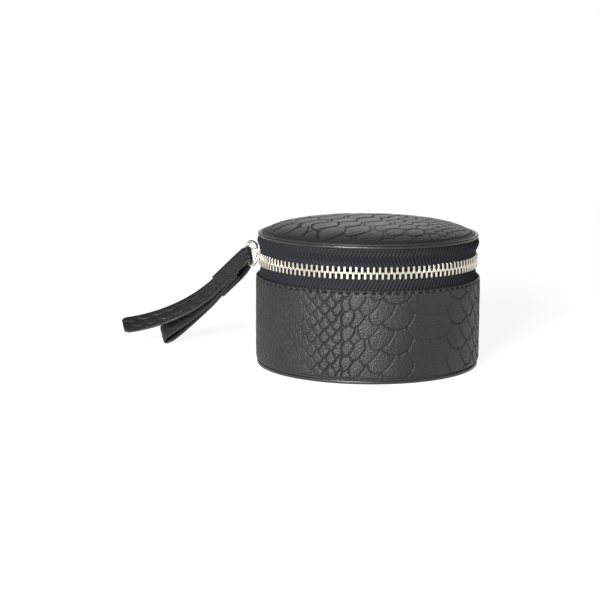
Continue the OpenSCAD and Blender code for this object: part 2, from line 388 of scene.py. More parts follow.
M_FOAM = plain("foam", (0.50, 0.48, 0.44), (0.62, 0.60, 0.56), 1500, 0.95)
M_MIRROR = plain("mirror_glass", (0.86, 0.88, 0.88), (0.90, 0.91, 0.91), 30, 0.02, Metallic=1.0)
M_FLOOR = plain("pale_floor", (0.22, 0.22, 0.22), (0.25, 0.25, 0.25), 20, 0.8,
                Emission_Color=(1.0, 1.0, 1.0), Emission_Strength=0.88, Specular_IOR_Level=0.0)


# ---------------------------------------------------------------- embossed scales
def emboss(scales, x, y, wrap=None):
    """Paints scales from the lowest to the topmost. Returns the relief in millimetres and the groove mask,
    which the callers use as a mask of painted shade.

    A scale is its centre, its half length and half height, the power of its outline (1.4 is nearly a
    diamond, 2.7 nearly a box), its lean, and its depth. wrap is the length after which x starts again.
    """
    edge = np.full(x.shape, 9.0)
    lift = np.zeros(x.shape)
    deep = np.full(x.shape, 0.05)
    for cx, cy, a, b, p, lean, depth in scales:
        dx = x - cx
        if wrap:
            dx = (dx + wrap / 2) % wrap - wrap / 2
        dy = y - cy
        near = (np.abs(dx) < a + 2.5) & (np.abs(dy) < b + 2.5)
        if not near.any():
            continue
        u, v = dx[near] - lean * dy[near], dy[near]
        rho = (np.abs(u / a) ** p + np.abs(v / b) ** p) ** (1 / p) + 1e-6
        slope = np.sqrt((u / a ** 2) ** 2 + (v / b ** 2) ** 2) / rho + 1e-6
        dist = (rho - 1) / slope
        e, l, d = edge[near], lift[near], deep[near]
        inside = rho < 1
        e = np.where(inside, -dist, np.minimum(e, dist))
        l = np.where(inside, depth * (0.55 * (1 - rho ** 2) - 0.45 * v / b), l)
        d = np.where(inside | (dist < 0.5), depth, d)
        edge[near], lift[near], deep[near] = e, l, d
    width = 0.26 + 0.5 * deep
    groove = np.exp(-(edge / width) ** 2)
    return DEPTH * (lift - 1.25 * deep * groove), groove * np.clip(deep / 0.12, 0, 1)


def wall_scales():
    """Belly plates in the middle, shields beside them, then hexagons, diamonds and fine grain."""
    out = []

    def column(u, a, b, pitch, low, p, lean, depth, jitter):
        """The scales at a distance u on both sides of the belly, one every pitch up the wall."""
        z = low - pitch
        while z < BASE_Z1 + pitch:
            for side in (-1, 1):
                out.append((side * u + rng.uniform(-jitter, jitter), z + b + rng.uniform(-jitter, jitter),
                            a * rng.uniform(0.96, 1.04), b, p, side * lean,
                            depth * rng.uniform(0.8, 1.1) * (0.7 if side > 0 else 1.0)))
            z += pitch

    column(0, 12.0, 8.0, 11.3, 8.1, 2.7, 0.0, 0.055, 0.15)
    column(17.0, 7.9, 8.6, 11.4, 1.7, 2.15, -0.04, 0.17, 0.25)
    column(23.8, 5.6, 7.6, 11.1, 4.6, 1.8, -0.32, 0.15, 0.3)
    column(29.2, 4.8, 7.2, 10.9, 9.0, 1.6, -0.3, 0.14, 0.3)
    column(34.6, 3.6, 5.4, 7.5, 3.0, 1.55, -0.3, 0.17, 0.35)
    column(39.0, 2.9, 4.6, 6.6, 5.6, 1.5, -0.25, 0.2, 0.35)
    u, odd = 43.7, 1
    while u < 61:
        fading = 1 - 0.75 * max(0.0, (u - 50) / 11)
        column(u, 2.9, 3.8, 6.3, 2.0 + 3.15 * odd, 1.5, -0.1 if odd else 0.1, 0.24 * fading, 0.3)
        u, odd = u + 3.15, 1 - odd
    while u < 166:
        column(u, 1.5, 2.9, 4.2, 1.0 + 2.1 * odd, 1.5, 0.0, 0.05, 0.55)
        u, odd = u + 1.75, 1 - odd
    out.sort(key=lambda s: (s[1] - s[3]))
    return out


def lid_scales():
    """Rows of long hexagons across the lid, smaller towards its sides."""
    out = []
    c, s = math.cos(math.radians(CAM_AZ + LID_ROWS)), math.sin(math.radians(CAM_AZ + LID_ROWS))
    right_x, right_y = math.cos(math.radians(CAM_AZ)), math.sin(math.radians(CAM_AZ))

    def band(lo, hi, long, wide, depth, p, jitter):
        """The scales of one size, between two distances to the right."""
        rows = int(110 / wide)
        for j in range(-rows // 2, rows // 2 + 1):
            steps = int(120 / long)
            for i in range(-steps // 2, steps // 2 + 1):
                along = (i + 0.5 * (j % 2) + 0.15 * math.sin(j * 1.7)) * long
                across = j * wide
                px, py = along * c - across * s, along * s + across * c
                if lo <= px * right_x + py * right_y < hi:
                    out.append((along + rng.uniform(-jitter, jitter), across + rng.uniform(-jitter, jitter),
                                long * 0.56, wide * 0.66, p, 0.12, depth * rng.uniform(0.85, 1.1)))

    band(-60, -24, 21.0, 8.6, 0.10, 1.45, 0.8)
    band(-24, 12, 19.0, 9.6, 0.115, 1.4, 0.8)
    band(12, 27, 12.5, 6.6, 0.095, 1.4, 0.6)
    band(27, 60, 7.0, 3.8, 0.07, 1.4, 0.4)
    return out, c, s


# Writes a mask of painted shade onto the mesh, as its attribute named groove.
def store_painted_shade(obj, values):
    at = obj.data.attributes.new("groove", "FLOAT", "POINT")
    at.data.foreach_set("value", np.clip(values, 0, 1).astype(np.float32).ravel())


# ---------------------------------------------------------------- base
def stitch_dents(arc, z, radius):
    """How far the leather is pulled in along the stitch line and at each hole. The hole mask is also used to
    paint shade into the holes.
    """
    pitch = TAU * radius / STITCHES
    first = math.radians(STITCH_A0 - BELLY_A) * radius
    along = np.abs(((arc - first) / pitch + 0.5) % 1 - 0.5) * pitch
    dz = z - STITCH_Z
    line = 0.14 * np.exp(-(dz / 0.6) ** 2) - 0.1 * np.exp(-((dz - 0.95) / 0.35) ** 2)
    hole = np.exp(-(np.clip(along - 0.6, 0, 9) / 0.34) ** 2 - (dz / 0.42) ** 2)
    return line + 0.75 * hole, hole


def make_wall():
    """The wall's leather, embossed, stitched and turned in at the top, with painted shade in its grooves and
    stitch holes. Its front has the finer mesh.
    """
    z_rows = np.concatenate([np.linspace(BASE_Z0 + 0.7, BASE_Z1 - 2.2, 108),
                             np.linspace(BASE_Z1 - 2.05, BASE_Z1 - 0.5, 14)])
    rows = len(z_rows)
    taper = 0.35 * np.clip((9 - z_rows) / 9, 0, 1) ** 2
    outer = [(BASE_R - 0.04 - t, z) for t, z in zip(taper, z_rows)]
    top = arc_points(BASE_R - 0.56, BASE_Z1 - 0.47, 0.5, 10, 170, 9)
    bottom = arc_points(BASE_R - 0.95, BASE_Z0 + 0.6, 0.58, 190, 340, 6)
    inner = [(BASE_R - 1.19, z) for z in np.linspace(BASE_Z1 - 2.5, BASE_Z0 + 3, 4)]
    prof = outer + top + inner + bottom
    front = np.linspace(138, 332, 1000, endpoint=False)
    back = np.linspace(332, 498, 300, endpoint=False)
    ang = np.concatenate([front, back])
    arc = np.radians(ang - BELLY_A) * BASE_R
    x, z = np.meshgrid(arc, z_rows, indexing="ij")
    relief, groove = emboss(wall_scales(), x, z, wrap=TAU * BASE_R)
    fade = np.clip((BASE_Z1 - 1.5 - z) / 0.8, 0, 1) * np.clip((z - BASE_Z0 - 0.6) / 0.6, 0, 1)
    dent, hole = stitch_dents(x, z, BASE_R)
    wrinkle = 0.03 * np.sin(x * 1.9 + 2.2 * np.sin(z * 0.35 + x * 0.21)) * np.sin(z * 0.23 + x * 0.13)
    push = np.zeros((len(ang), len(prof)))
    push[:, :rows] = relief * fade - dent + wrinkle * fade
    shade = np.zeros((len(ang), len(prof)))
    # Painted shade: the grooves between the scales and the stitch holes are darkened through this mask.
    shade[:, :rows] = np.maximum(groove * fade * 0.8, hole)
    obj = lathe("wall_leather", prof, ang, True, push)
    store_painted_shade(obj, shade)
    finish_piece(obj, "base", M_WALL, ["base_wall_leather"])


def make_stitches():
    """Each stitch is a short thread that dives into the leather at both ends."""
    tubes = []
    half = math.degrees(0.82 / BASE_R)
    for i in range(STITCHES):
        pts, rad = [], []
        for k in range(9):
            t = k / 4 - 1
            a = math.radians(STITCH_A0 + i * 360 / STITCHES + half * t)
            r = BASE_R - 0.62 - 0.4 * abs(t) ** 3
            pts.append((r * math.cos(a), r * math.sin(a), STITCH_Z + 0.06 * t))
            rad.append(0.23 * (1 - 0.3 * t * t))
        tubes.append(tube(pts, rad, 8))
    finish_piece(join_grids("base_stitching_thread", tubes), "base", M_THREAD, ["base_stitching"])


def make_foot():
    """The leather disc underneath, with its rounded welt."""
    prof = ([(r, 0.0) for r in (0.01, 10, 25, 40)] + arc_points(FOOT_R - 0.7, 0.7, 0.7, -90, 0, 6)
            + arc_points(FOOT_R - 0.55, FOOT_T - 0.55, 0.55, 0, 90, 5)
            + [(r, FOOT_T) for r in (FOOT_R - 2.2, 40, 25, 10, 0.01)])
    ang = np.linspace(0, 360, 288, endpoint=False)
    finish_piece(lathe("foot_leather", prof, ang, True), "base", M_EDGE, ["bottom_leather"])


# ---------------------------------------------------------------- zip
def ribs(arc, z, z_mid, pitch=1.72):
    """Herringbone: ribs that lean one way above the middle line and the other way below it."""
    phase = (arc - np.abs(z - z_mid) * 0.58) / pitch
    wave = 0.5 + 0.5 * np.cos(TAU * phase)
    spine = np.exp(-((z - z_mid) / 0.16) ** 2)
    cross = 0.5 + 0.5 * np.cos(TAU * (z / 0.62 + arc / 2.4))
    return wave * (1 - 0.5 * spine) * (0.8 + 0.2 * cross)


def tape(name, centre, half, angles, z_mid, body, node):
    """A woven tape. centre is a path of (r, z), half is half its thickness, z_mid the ribs' middle line."""
    path = smooth_path(centre, 0.3, 6)
    n = len(path)
    t = np.gradient(path, axis=0)
    t /= np.linalg.norm(t, axis=1, keepdims=True)
    nrm = np.stack([t[:, 1], -t[:, 0]], 1)
    outer = path + nrm * half
    prof = np.concatenate([outer, (path - nrm * half)[::-1]])
    x, z = np.meshgrid(np.radians(angles) * TAPE_OUT, outer[:, 1], indexing="ij")
    w = ribs(x, z, z_mid)
    push = np.zeros((len(angles), len(prof)))
    push[:, :n] = 0.42 * (w - 1)
    # Painted shade: the colour darkens between the ribs through this mask.
    shade = np.zeros_like(push)
    shade[:, :n] = (1 - w) ** 0.85
    obj = lathe(name, prof, angles, False, push)
    store_painted_shade(obj, shade)
    return finish_piece(obj, body, M_TAPE, [node])


UPPER_PATH = [(TAPE_IN + 0.4, ZIP_Z + 1.2), (TAPE_IN + 0.4, ZIP_Z + 4.6), (50.9, 55.8), (51.6, 57.3),
              (51.55, 58.6), (51.0, 59.85)]
LOWER_PATH = [(50.95, 35.0), (50.95, 41.6), (50.7, 42.6), (TAPE_IN + 0.4, ZIP_Z - 4.9),
              (TAPE_IN + 0.4, ZIP_Z - 1.2)]
LOWER_HALF, LOWER_MID = 0.33, 42.2        # half the thickness, and the height of the ribs' middle line
UPPER_HALF, UPPER_MID = 0.36, 56.9


def make_tapes():
    """The lower tape, the upper tape, and the upper tape's two ends over the hinge, which get no body."""
    open_end = OPEN_A + OPEN_RUN
    cut0, cut1 = OPEN_A + END_RUN, open_end - END_RUN
    tape("zip_tape_lower_weave", LOWER_PATH, LOWER_HALF, np.linspace(OPEN_A, open_end, 930), LOWER_MID,
         "base", "zip_tape_lower")
    tape("zip_tape_upper_weave", UPPER_PATH, UPPER_HALF, np.linspace(cut0, cut1, 820), UPPER_MID,
         "lid", "zip_tape_upper")
    for node, a0, a1 in (("tape_end_left", OPEN_A, cut0), ("tape_end_right", cut1, open_end)):
        end = tape(node + "_weave", UPPER_PATH, UPPER_HALF, np.linspace(a0, a1, 56), UPPER_MID, None, node)
        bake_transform(end)


LEG, WAIST, HEAD = -2.95, -1.2, 0.55      # a tooth's legs end, its legs part, its head ends
TOOTH_BEVEL = 0.12


def tooth_outline():
    """Radial profile of one tooth, clamped round the edge of the tape; y runs from the tape to the tip."""
    return [(TAPE_OUT + 0.03, LEG), (TOOTH_OUT - 0.25, LEG), (TOOTH_OUT, -2.6), (TOOTH_OUT, -0.75),
            (TOOTH_OUT, 0.15), (TOOTH_OUT - 0.25, HEAD), (TOOTH_IN + 0.25, HEAD), (TOOTH_IN, 0.15),
            (TOOTH_IN, -0.75), (TOOTH_IN, -2.6), (TOOTH_IN + 0.25, LEG), (TAPE_IN - 0.03, LEG),
            (TAPE_IN - 0.03, WAIST), (TAPE_OUT + 0.03, WAIST)]


def tooth_angle(i, upper):
    """The upper row sits half a step on from the lower one."""
    return math.radians(FIRST_TOOTH + (i + (0.5 if upper else 0)) * TOOTH_STEP)


def teeth_mesh(name, indices, upper):
    """Teeth of one row. Each is a bevelled prism, wider at its head than at its legs."""
    out = tooth_outline()
    middle, m = (TOOTH_IN + TOOTH_OUT) / 2, len(out)
    verts, faces, n = [], [], 0
    for i in indices:
        a = tooth_angle(i, upper)
        ca, sa = math.cos(a), math.sin(a)
        ring = []
        for side, depth, shrink in ((-1, 1.0, 1), (-1, 0.78, 0), (1, 0.78, 0), (1, 1.0, 1)):
            for r, y in out:
                half = 0.62 if y > -0.4 else 0.50
                rr = r + (TOOTH_BEVEL * np.sign(middle - r) if shrink else 0)
                yy = y + (TOOTH_BEVEL * 0.6 * np.sign(WAIST - y) if shrink and abs(y - WAIST) > 0.1 else 0)
                t = side * half * depth
                z = ZIP_Z + (-yy if upper else yy)
                ring.append((rr * ca - t * sa, rr * sa + t * ca, z))
        verts += ring
        tooth = grid_faces(4, m, False, True, n)
        tooth += [[n + j for j in range(m - 1, -1, -1)], [n + 3 * m + j for j in range(m)]]
        faces += [f[::-1] for f in tooth] if upper else tooth
        n += 4 * m
    return raw_mesh(name, verts, faces, smooth=False)


def make_teeth():
    """Both rows. The upper row's teeth over the ends of the upper tape are pieces of their own."""
    low = teeth_mesh("zip_teeth_lower_metal", range(TEETH), False)
    finish_piece(low, "base", M_METAL, ["zip_teeth_lower"])
    ends = math.ceil((END_RUN - (FIRST_TOOTH - OPEN_A)) / TOOTH_STEP)
    up = teeth_mesh("zip_teeth_upper_metal", range(ends, TEETH - ends), True)
    finish_piece(up, "lid", M_METAL, ["zip_teeth_upper"])
    for i in [*range(ends), *range(TEETH - ends, TEETH)]:
        end = teeth_mesh("zip_tooth_end_%02d" % i, [i], True)
        finish_piece(end, None, M_METAL)
        turn_whole(end)


def turn_whole(piece):
    """Bakes a small rigid piece's transform into its mesh."""
    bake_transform(piece)


def make_hinge():
    """The leather strip at the back and the suede inside it, between base and lid, with no body."""
    ang = np.linspace(90 - HINGE_HALF + 0.3, 90 + HINGE_HALF - 0.3, 120)
    p = smooth_path([(50.95, 35.2), (50.95, 41.7), (51.25, 42.8), (51.3, 50), (51.2, 56.5), (51.15, 59.6)],
                    rounds=10, count=60)
    prof = np.concatenate([p + [0.5, 0], (p - [0.3, 0])[::-1]])
    obj = lathe("hinge_leather_strip", prof, ang, False)
    store_painted_shade(obj, np.zeros((len(ang), len(prof))))
    finish_piece(obj, None, M_WALL, ["hinge_leather"])
    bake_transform(obj)
    z = np.linspace(44.3, 56.1, 30)
    prof = [(50.45, q) for q in z] + [(49.75, q) for q in z[::-1]]
    obj = lathe("hinge_lining_strip", prof, ang, False)
    finish_piece(obj, None, M_SUEDE, ["hinge_lining"])
    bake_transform(obj)


# ---------------------------------------------------------------- lid
def dome_height(r, rim=50.6):
    return np.maximum(DOME_Z0 + (DOME_Z1 - DOME_Z0) * (1 - (np.minimum(r, rim) / rim) ** 5), DOME_Z0)


def make_lid_leather():
    """The padded dome: its embossed top, the seam beside the rim, and its underside, with painted shade in
    the grooves and the seam.
    """
    r_top = np.concatenate([np.linspace(0.3, 46.5, 94), np.linspace(46.9, DOME_R - 0.05, 14)])
    scales, c, s = lid_scales()
    a = np.linspace(0, TAU, 700, endpoint=False)
    r, t = np.meshgrid(r_top, a, indexing="xy")
    px, py = r * np.cos(t), r * np.sin(t)
    relief, groove = emboss(scales, px * c + py * s, -px * s + py * c)
    fade = np.clip((47.6 - r) / 1.5, 0, 1)
    seam = np.exp(-((r - 48.3) / 0.45) ** 2)
    top = np.stack([px, py, dome_height(r) + (relief - 0.02) * fade - 0.35 * seam], -1)
    r_low = np.array([DOME_R - 0.05, 48.2])
    rl, tl = np.meshgrid(r_low, a, indexing="xy")
    low = np.stack([rl * np.cos(tl), rl * np.sin(tl), np.full(rl.shape, DOME_Z0 + 0.02)], -1)
    r_in = np.linspace(44, 0.3, 14)
    ri, ti = np.meshgrid(r_in, a, indexing="xy")
    under = np.stack([ri * np.cos(ti), ri * np.sin(ti), dome_height(ri) - 1.2], -1)
    pts = np.concatenate([top, low, under], 1)
    obj = grid("lid_leather_dome", pts, wrap_u=True, wrap_v=True, flip=True)
    shade = np.zeros(pts.shape[:2])
    # Painted shade: the grooves between the scales and the seam beside the rim are darkened through this
    # mask.
    shade[:, :len(r_top)] = np.maximum(groove * fade * 0.8, seam * 0.9)
    store_painted_shade(obj, shade)
    finish_piece(obj, "lid", M_LID, ["lid_leather"])


def make_piping():
    """The rim: a cord wrapped in leather, with faint creases along it."""
    prof = arc_points(RIM_R - 0.95, (RIM_Z0 + RIM_Z1) / 2, 0.95, 0, 342, 20)
    ang = np.linspace(0, 360, 720, endpoint=False)
    arc = np.radians(ang) * RIM_R
    crease = 0.02 * np.sin(arc * 1.3 + 2 * np.sin(arc * 0.31)) * np.sin(arc * 0.17)
    push = np.repeat(crease[:, None], len(prof), 1)
    finish_piece(lathe("rim_piping", prof, ang, True, push), "lid", M_EDGE, ["lid_piping"])


# ---------------------------------------------------------------- ring and strap
def make_ring():
    """A D ring of wire: a straight bar, two tight bends and a bow between them."""
    bar, bend, depth = RING_BAR, RING_BEND, RING_DEPTH
    bow = ((depth - bend) ** 2 + bar ** 2 - bend ** 2) / (2 * (depth - 2 * bend))
    cx = bow - depth
    cut = math.degrees(math.atan2(bar, cx + bend))
    path = [(0, y) for y in np.linspace(-bar, bar, 12)]
    path += arc_points(-bend, bar, bend, 0, 180 - cut, 12)[1:]
    path += arc_points(cx, 0, bow, 180 - cut, 180 + cut, 40)[1:]
    path += arc_points(-bend, -bar, bend, 180 + cut, 360, 12)[1:-1]
    pts, _ = tube([(x, y, 0) for x, y in path], RING_WIRE, 16, closed=True)
    obj = grid("pull_ring_wire", place(pts, RING_TURN), wrap_u=True, wrap_v=True)
    finish_piece(obj, "ring", M_METAL, ["pull_ring"])


def strap_scales(length):
    """Small six-sided scales along the strap."""
    rows, step, wide = random.Random(11), 6.8, 3.8
    return [((i + 0.5 * (j % 2)) * step + rows.uniform(-0.5, 0.5), j * wide + rows.uniform(-0.3, 0.3),
             4.0, 2.6, 1.5, 0.5, rows.uniform(0.05, 0.08))
            for i in range(int(length / step) + 2) for j in (-1, 0, 1)]


def ribbon(name, node, path, thick, width, taper=None, lean=0.0):
    """A strip of leather along a path in the strap's own plane, with rounded edges and a light relief, and
    painted shade in its relief lines and edge creases.
    """
    p = np.asarray(path, float)
    t = np.gradient(p, axis=0)
    t /= np.linalg.norm(t, axis=1, keepdims=True)
    nrm = np.stack([-t[:, 1], t[:, 0]], 1)
    half_t, half_w = thick / 2, width / 2
    edge = min(0.45, half_t * 0.8)
    flat = np.linspace(-1, 1, 33) * (half_w - edge)
    turn = np.radians([60, 30, 0, -30, -60])
    side = np.stack([half_t * np.sin(turn), half_w - edge + edge * np.cos(turn)], 1)
    front = np.stack([np.full(33, half_t), flat], 1)
    across = np.concatenate([front, side, -front, -side])
    arc = np.concatenate([[0], np.cumsum(np.linalg.norm(np.diff(p, axis=0), axis=1))])
    widths = np.array([taper(s, arc[-1]) if taper else 1.0 for s in arc])
    z = across[None, :, 1] * widths[:, None]
    face = np.abs(across[:, 0]) > half_t * 0.95
    outer = face & (across[:, 0] > 0)
    relief, lines = emboss(strap_scales(arc[-1]), arc[:, None] + 0 * z, z)
    inset = np.exp(-((np.abs(across[None, :, 1]) - half_w + 1.0) / 0.35) ** 2) * face[None, :]
    fade = np.clip((half_w - 1.2 - np.abs(z)) / 0.5, 0, 1) * outer[None, :]
    off = across[None, :, 0] + relief * fade - np.sign(across[None, :, 0]) * 0.1 * inset
    x = p[:, None, 0] + nrm[:, None, 0] * off
    y = p[:, None, 1] + nrm[:, None, 1] * off
    obj = grid(name, place(np.stack([x - lean * z, y, z], -1), STRAP_TURN), wrap_v=True, caps=True)
    # Painted shade: the relief lines and the creases near the edges are darkened through this mask.
    store_painted_shade(obj, np.maximum(lines * fade, 0.5 * inset))
    finish_piece(obj, "strap", M_STRAP, [node])


def narrow_fold(s, total):
    """The strap is cut a little narrower where it turns round the ring."""
    return 1 - 0.2 * math.exp(-((s - total / 2) / 3.2) ** 4)


def rounded_tip(s, total):
    """The tail's end is cut with two round corners."""
    d = total - s
    return 1.0 if d > 3 else math.sqrt(max(0.05, 1 - (1 - d / 3) ** 2)) * 0.35 + 0.65


def make_strap():
    """The wrap round the ring, the tail, the loop below it and the stitches, in the strap's own plane."""
    nose = arc_points(0, 0, 1.38, 270, 90, 14)[1:-1]
    low = smooth_path([(SEWN, -3.55), (10, -3.55), (6, -3.1), (3, -2.4), (0, -1.38)], 0.35, 6)
    high = smooth_path([(0, 1.38), (3, 1.55), (7, 1.7), (SEWN, 1.7)], 0.35, 6)
    ribbon("strap_wrap_leather", "strap_wrap", np.concatenate([low[:-1], nose, high[1:]]),
           0.8, STRAP_W + 0.3, taper=narrow_fold, lean=FOLD_LEAN)
    ply, top = 1.15, 1.26
    mid, start = top - ply / 2, SEWN - 1
    tail_path = [(x, mid) for x in np.linspace(8, start, 44)]
    for k in range(1, 151):
        q = TAIL / TAIL_BEND * k / 150
        tail_path.append((start + TAIL_BEND * math.sin(q), mid + TAIL_BEND * (1 - math.cos(q))))
    ribbon("strap_tail_leather", "strap_tail", tail_path, ply, STRAP_W, taper=rounded_tip)
    loop_path = smooth_path([(11, -0.55), (18, -0.6), (24, -1.35), (32, -1.9), (38, -1.75), (44, -1.25),
                             (49, -0.6), (54, 0.6), (59, 1.75), (62, 2.15), (64.2, 2.2), (65.6, 1.5),
                             (66.15, 0.4), (65.8, -0.5), (64.4, -1.4), (62.2, -2.1), (56, -2.8), (47, -3.25),
                             (38, -3.4), (32, -3.35), (24, -2.55), (18, -2.5), (11, -2.5)])
    ribbon("strap_loop_leather", "strap_loop", loop_path, 1.1, STRAP_W)
    threads = []
    for face, first, step, length in ((2.14, 7.4, 2.9, 2.1), (-4.0, 10.2, 2.4, 1.8)):
        for side in (-1, 1):
            for i in range(6):
                z = side * (STRAP_W / 2 - 1.15)
                pts = [(first + i * step + length * (t + 1) / 2 - FOLD_LEAN * z,
                        face - math.copysign(0.3, face) * abs(t) ** 3, z) for t in np.linspace(-1, 1, 7)]
                thread, closed = tube(pts, 0.19, 8)
                threads.append((place(thread, STRAP_TURN), closed))
    finish_piece(join_grids("strap_thread", threads), "strap", M_THREAD, ["strap_stitching"])


# ---------------------------------------------------------------- inside
def rounded_band(r0, r1, z0, z1, radius, rows=40):
    """A closed (r, z) section with round corners; its inner and outer sides have many rows."""
    out = [(r1, z) for z in np.linspace(z0 + radius, z1 - radius, rows)]
    out += arc_points(r1 - radius, z1 - radius, radius, 0, 90, 5)[1:]
    out += arc_points(r0 + radius, z1 - radius, radius, 90, 180, 5)
    out += [(r0, z) for z in np.linspace(z1 - radius, z0 + radius, rows)[1:]]
    out += arc_points(r0 + radius, z0 + radius, radius, 180, 270, 5)[1:]
    out += arc_points(r1 - radius, z0 + radius, radius, 270, 360, 5)[:-1]
    return out


def ripples(x, y, size):
    """Soft, irregular waves of glued cloth, between -1 and 1."""
    x, y = x / size, y / size
    return (np.sin(x * 1.7 + 1.9 * np.sin(y * 1.3 + 0.4)) * np.sin(y * 1.1 + 1.3 * np.sin(x * 0.9))
            + 0.5 * np.sin(x * 3.9 + y * 2.7 + 1.1 * np.sin(x * 1.3))) / 1.5


def lined_band(name, node, body):
    """A glued suede lining on the inside of a round wall, with a turned-over edge."""
    lo, hi = size_of(node)
    radius = 0.35
    prof = rounded_band(LINING_R, hi[0], lo[2], hi[2], radius)
    ang = np.linspace(0, 360, 360, endpoint=False)
    arc, z = np.meshgrid(np.radians(ang) * LINING_R, [p[1] for p in prof], indexing="ij")
    inner = np.array([p[0] < LINING_R + radius for p in prof])
    push = 0.09 * (ripples(arc, z, 4.0) - 1) * inner[None, :]
    finish_piece(lathe(name, prof, ang, True, push), body, M_SUEDE, [node])


def lined_disc(name, node, body, amount, up=True):
    """A round sheet of suede glued to a board, a little uneven."""
    lo, hi = size_of(node)
    face, back = (hi[2], lo[2]) if up else (lo[2], hi[2])
    radii = np.concatenate([np.linspace(0.05, hi[0] - 0.6, 60), [hi[0] - 0.25, hi[0] - 0.05]])
    a = np.linspace(0, TAU, 300, endpoint=False)
    t, r = np.meshgrid(a, radii, indexing="ij")
    x, y = r * np.cos(t), r * np.sin(t)
    sign = 1 if up else -1
    top = face + sign * amount * (ripples(x, y, 7.0) - 1)
    top[:, -1] -= sign * 0.2
    under = np.full_like(top, back)
    pts = np.concatenate([np.stack([x, y, top], -1), np.stack([x, y, under], -1)[:, ::-1]], 1)
    obj = grid(name, pts, wrap_u=True, wrap_v=True, flip=up)
    finish_piece(obj, body, M_SUEDE, [node])


def divider(node, along):
    """A board wrapped in suede, with a round top edge; along is 0 for X and 1 for Y."""
    lo, hi = size_of(node)
    half = (hi[1 - along] - lo[1 - along]) / 2
    mid = (hi[1 - along] + lo[1 - along]) / 2
    sect = [(half, z) for z in np.linspace(lo[2] + 0.3, hi[2] - half, 16)]
    sect += arc_points(0, hi[2] - half, half, 0, 180, 13)[1:]
    sect += [(-half, z) for z in np.linspace(hi[2] - half, lo[2] + 0.3, 16)[1:]]
    sect += [(-half + 0.3, lo[2]), (half - 0.3, lo[2])]
    sect = np.array(sect)
    run = np.linspace(lo[along], hi[along], 120)
    s, z = np.meshgrid(run, sect[:, 1], indexing="ij")
    near_end = np.minimum(run - run[0], run[-1] - run)
    round_end = np.sqrt(np.clip(1 - (1 - np.clip(near_end / 0.7, 0, 1)) ** 2, 0.12, 1))[:, None]
    off = sect[None, :, 0] * round_end + 0.05 * (ripples(s, z, 4.0) - 1) * np.sign(sect[None, :, 0])
    z = z - (z > lo[2] + 1) * (1 - round_end) * 0.5
    xy = [s, mid + off] if along == 0 else [mid - off, s]
    obj = grid(node + "_suede", np.stack([*xy, z], -1), wrap_v=True, caps=True)
    finish_piece(obj, "base", M_SUEDE, [node])


def ring_roll(node):
    """A stuffed roll that holds rings: a crowned tube, flat below, gathered at its two ends."""
    lo, hi = size_of(node)
    half, w, h = (hi[0] - lo[0]) / 2, (hi[1] - lo[1]) / 2 - 0.12, hi[2] - lo[2]
    mid = (hi[1] + lo[1]) / 2
    sect = arc_points(0, h - w, w, 0, 180, 30)
    sect += arc_points(-w + 1.6, 1.6, 1.6, 180, 270, 7) + arc_points(w - 1.6, 1.6, 1.6, 270, 360, 7)
    sect = np.array(sect)
    u = np.sin(np.linspace(-1, 1, 130) * math.pi / 2)
    run = u * half
    gap = half - np.abs(run)
    full = np.sqrt(np.clip(1 - (1 - np.clip(gap / 4.5, 0, 1)) ** 2, 0.02, 1))[:, None]
    q = np.arange(len(sect)) / len(sect) * TAU
    gather = 1 - 0.05 * np.exp(-gap / 3.0)[:, None] * (0.5 + 0.5 * np.cos(11 * q))[None, :]
    soft = 1 + 0.012 * np.sin(run / 6.1 + 1.3 * np.sin(run / 4.3))[:, None]
    y = mid + sect[None, :, 0] * full * gather * soft
    z = lo[2] + sect[None, :, 1] * (0.25 + 0.75 * full) * gather
    x = np.repeat(run[:, None], len(sect), 1)
    obj = grid(node + "_pad", np.stack([x, y, z], -1), wrap_v=True, caps=True)
    finish_piece(obj, "base", M_SUEDE, [node])


def make_ring_bed():
    """The foam bed under the rolls, wrapped in suede and rounded along its top edge."""
    lo, hi = size_of("ring_bed")
    radius = math.hypot(hi[0], lo[1])
    a0 = math.degrees(math.asin(lo[1] / radius))
    outline = np.array(arc_points(0, 0, radius, a0, 180 - a0, 90)
                       + [(x, lo[1]) for x in np.linspace(-hi[0], hi[0], 60)[1:-1]])
    centre = np.array([0, (lo[1] + hi[1]) / 2])
    rings = [(0.4, lo[2]), (0.0, lo[2] + 0.4), (0.0, hi[2] - 0.9), (0.25, hi[2] - 0.3), (0.9, hi[2]),
             (4.0, hi[2])]
    out = outline - centre
    size = np.linalg.norm(out, axis=1, keepdims=True)
    pts = np.stack([np.concatenate([centre + out * (1 - inset / size), np.full((len(out), 1), z)], 1)
                    for inset, z in rings])
    obj = grid("ring_bed_pad", pts, wrap_v=True, caps=True)
    finish_piece(obj, "base", M_SUEDE, ["ring_bed"])


def make_lid_pad():
    """The foam dome between the lid's board and its leather, with a thin edge."""
    lo, hi = size_of("lid_padding")
    edge, rise = hi[0], hi[2] - lo[2] - 0.1
    radii = np.linspace(0.3, edge - 0.5, 48)
    prof = [(r, lo[2] + rise * (1 - (r / edge) ** 5)) for r in radii]
    prof += [(edge - 0.15, lo[2] + 0.2), (edge - 0.35, lo[2] + 0.02)] + [(r, lo[2]) for r in radii[::-1]]
    ang = np.linspace(0, 360, 180, endpoint=False)
    obj = lathe("lid_foam_pad", prof, ang, True)
    finish_piece(obj, "lid", M_FOAM, ["lid_padding"])


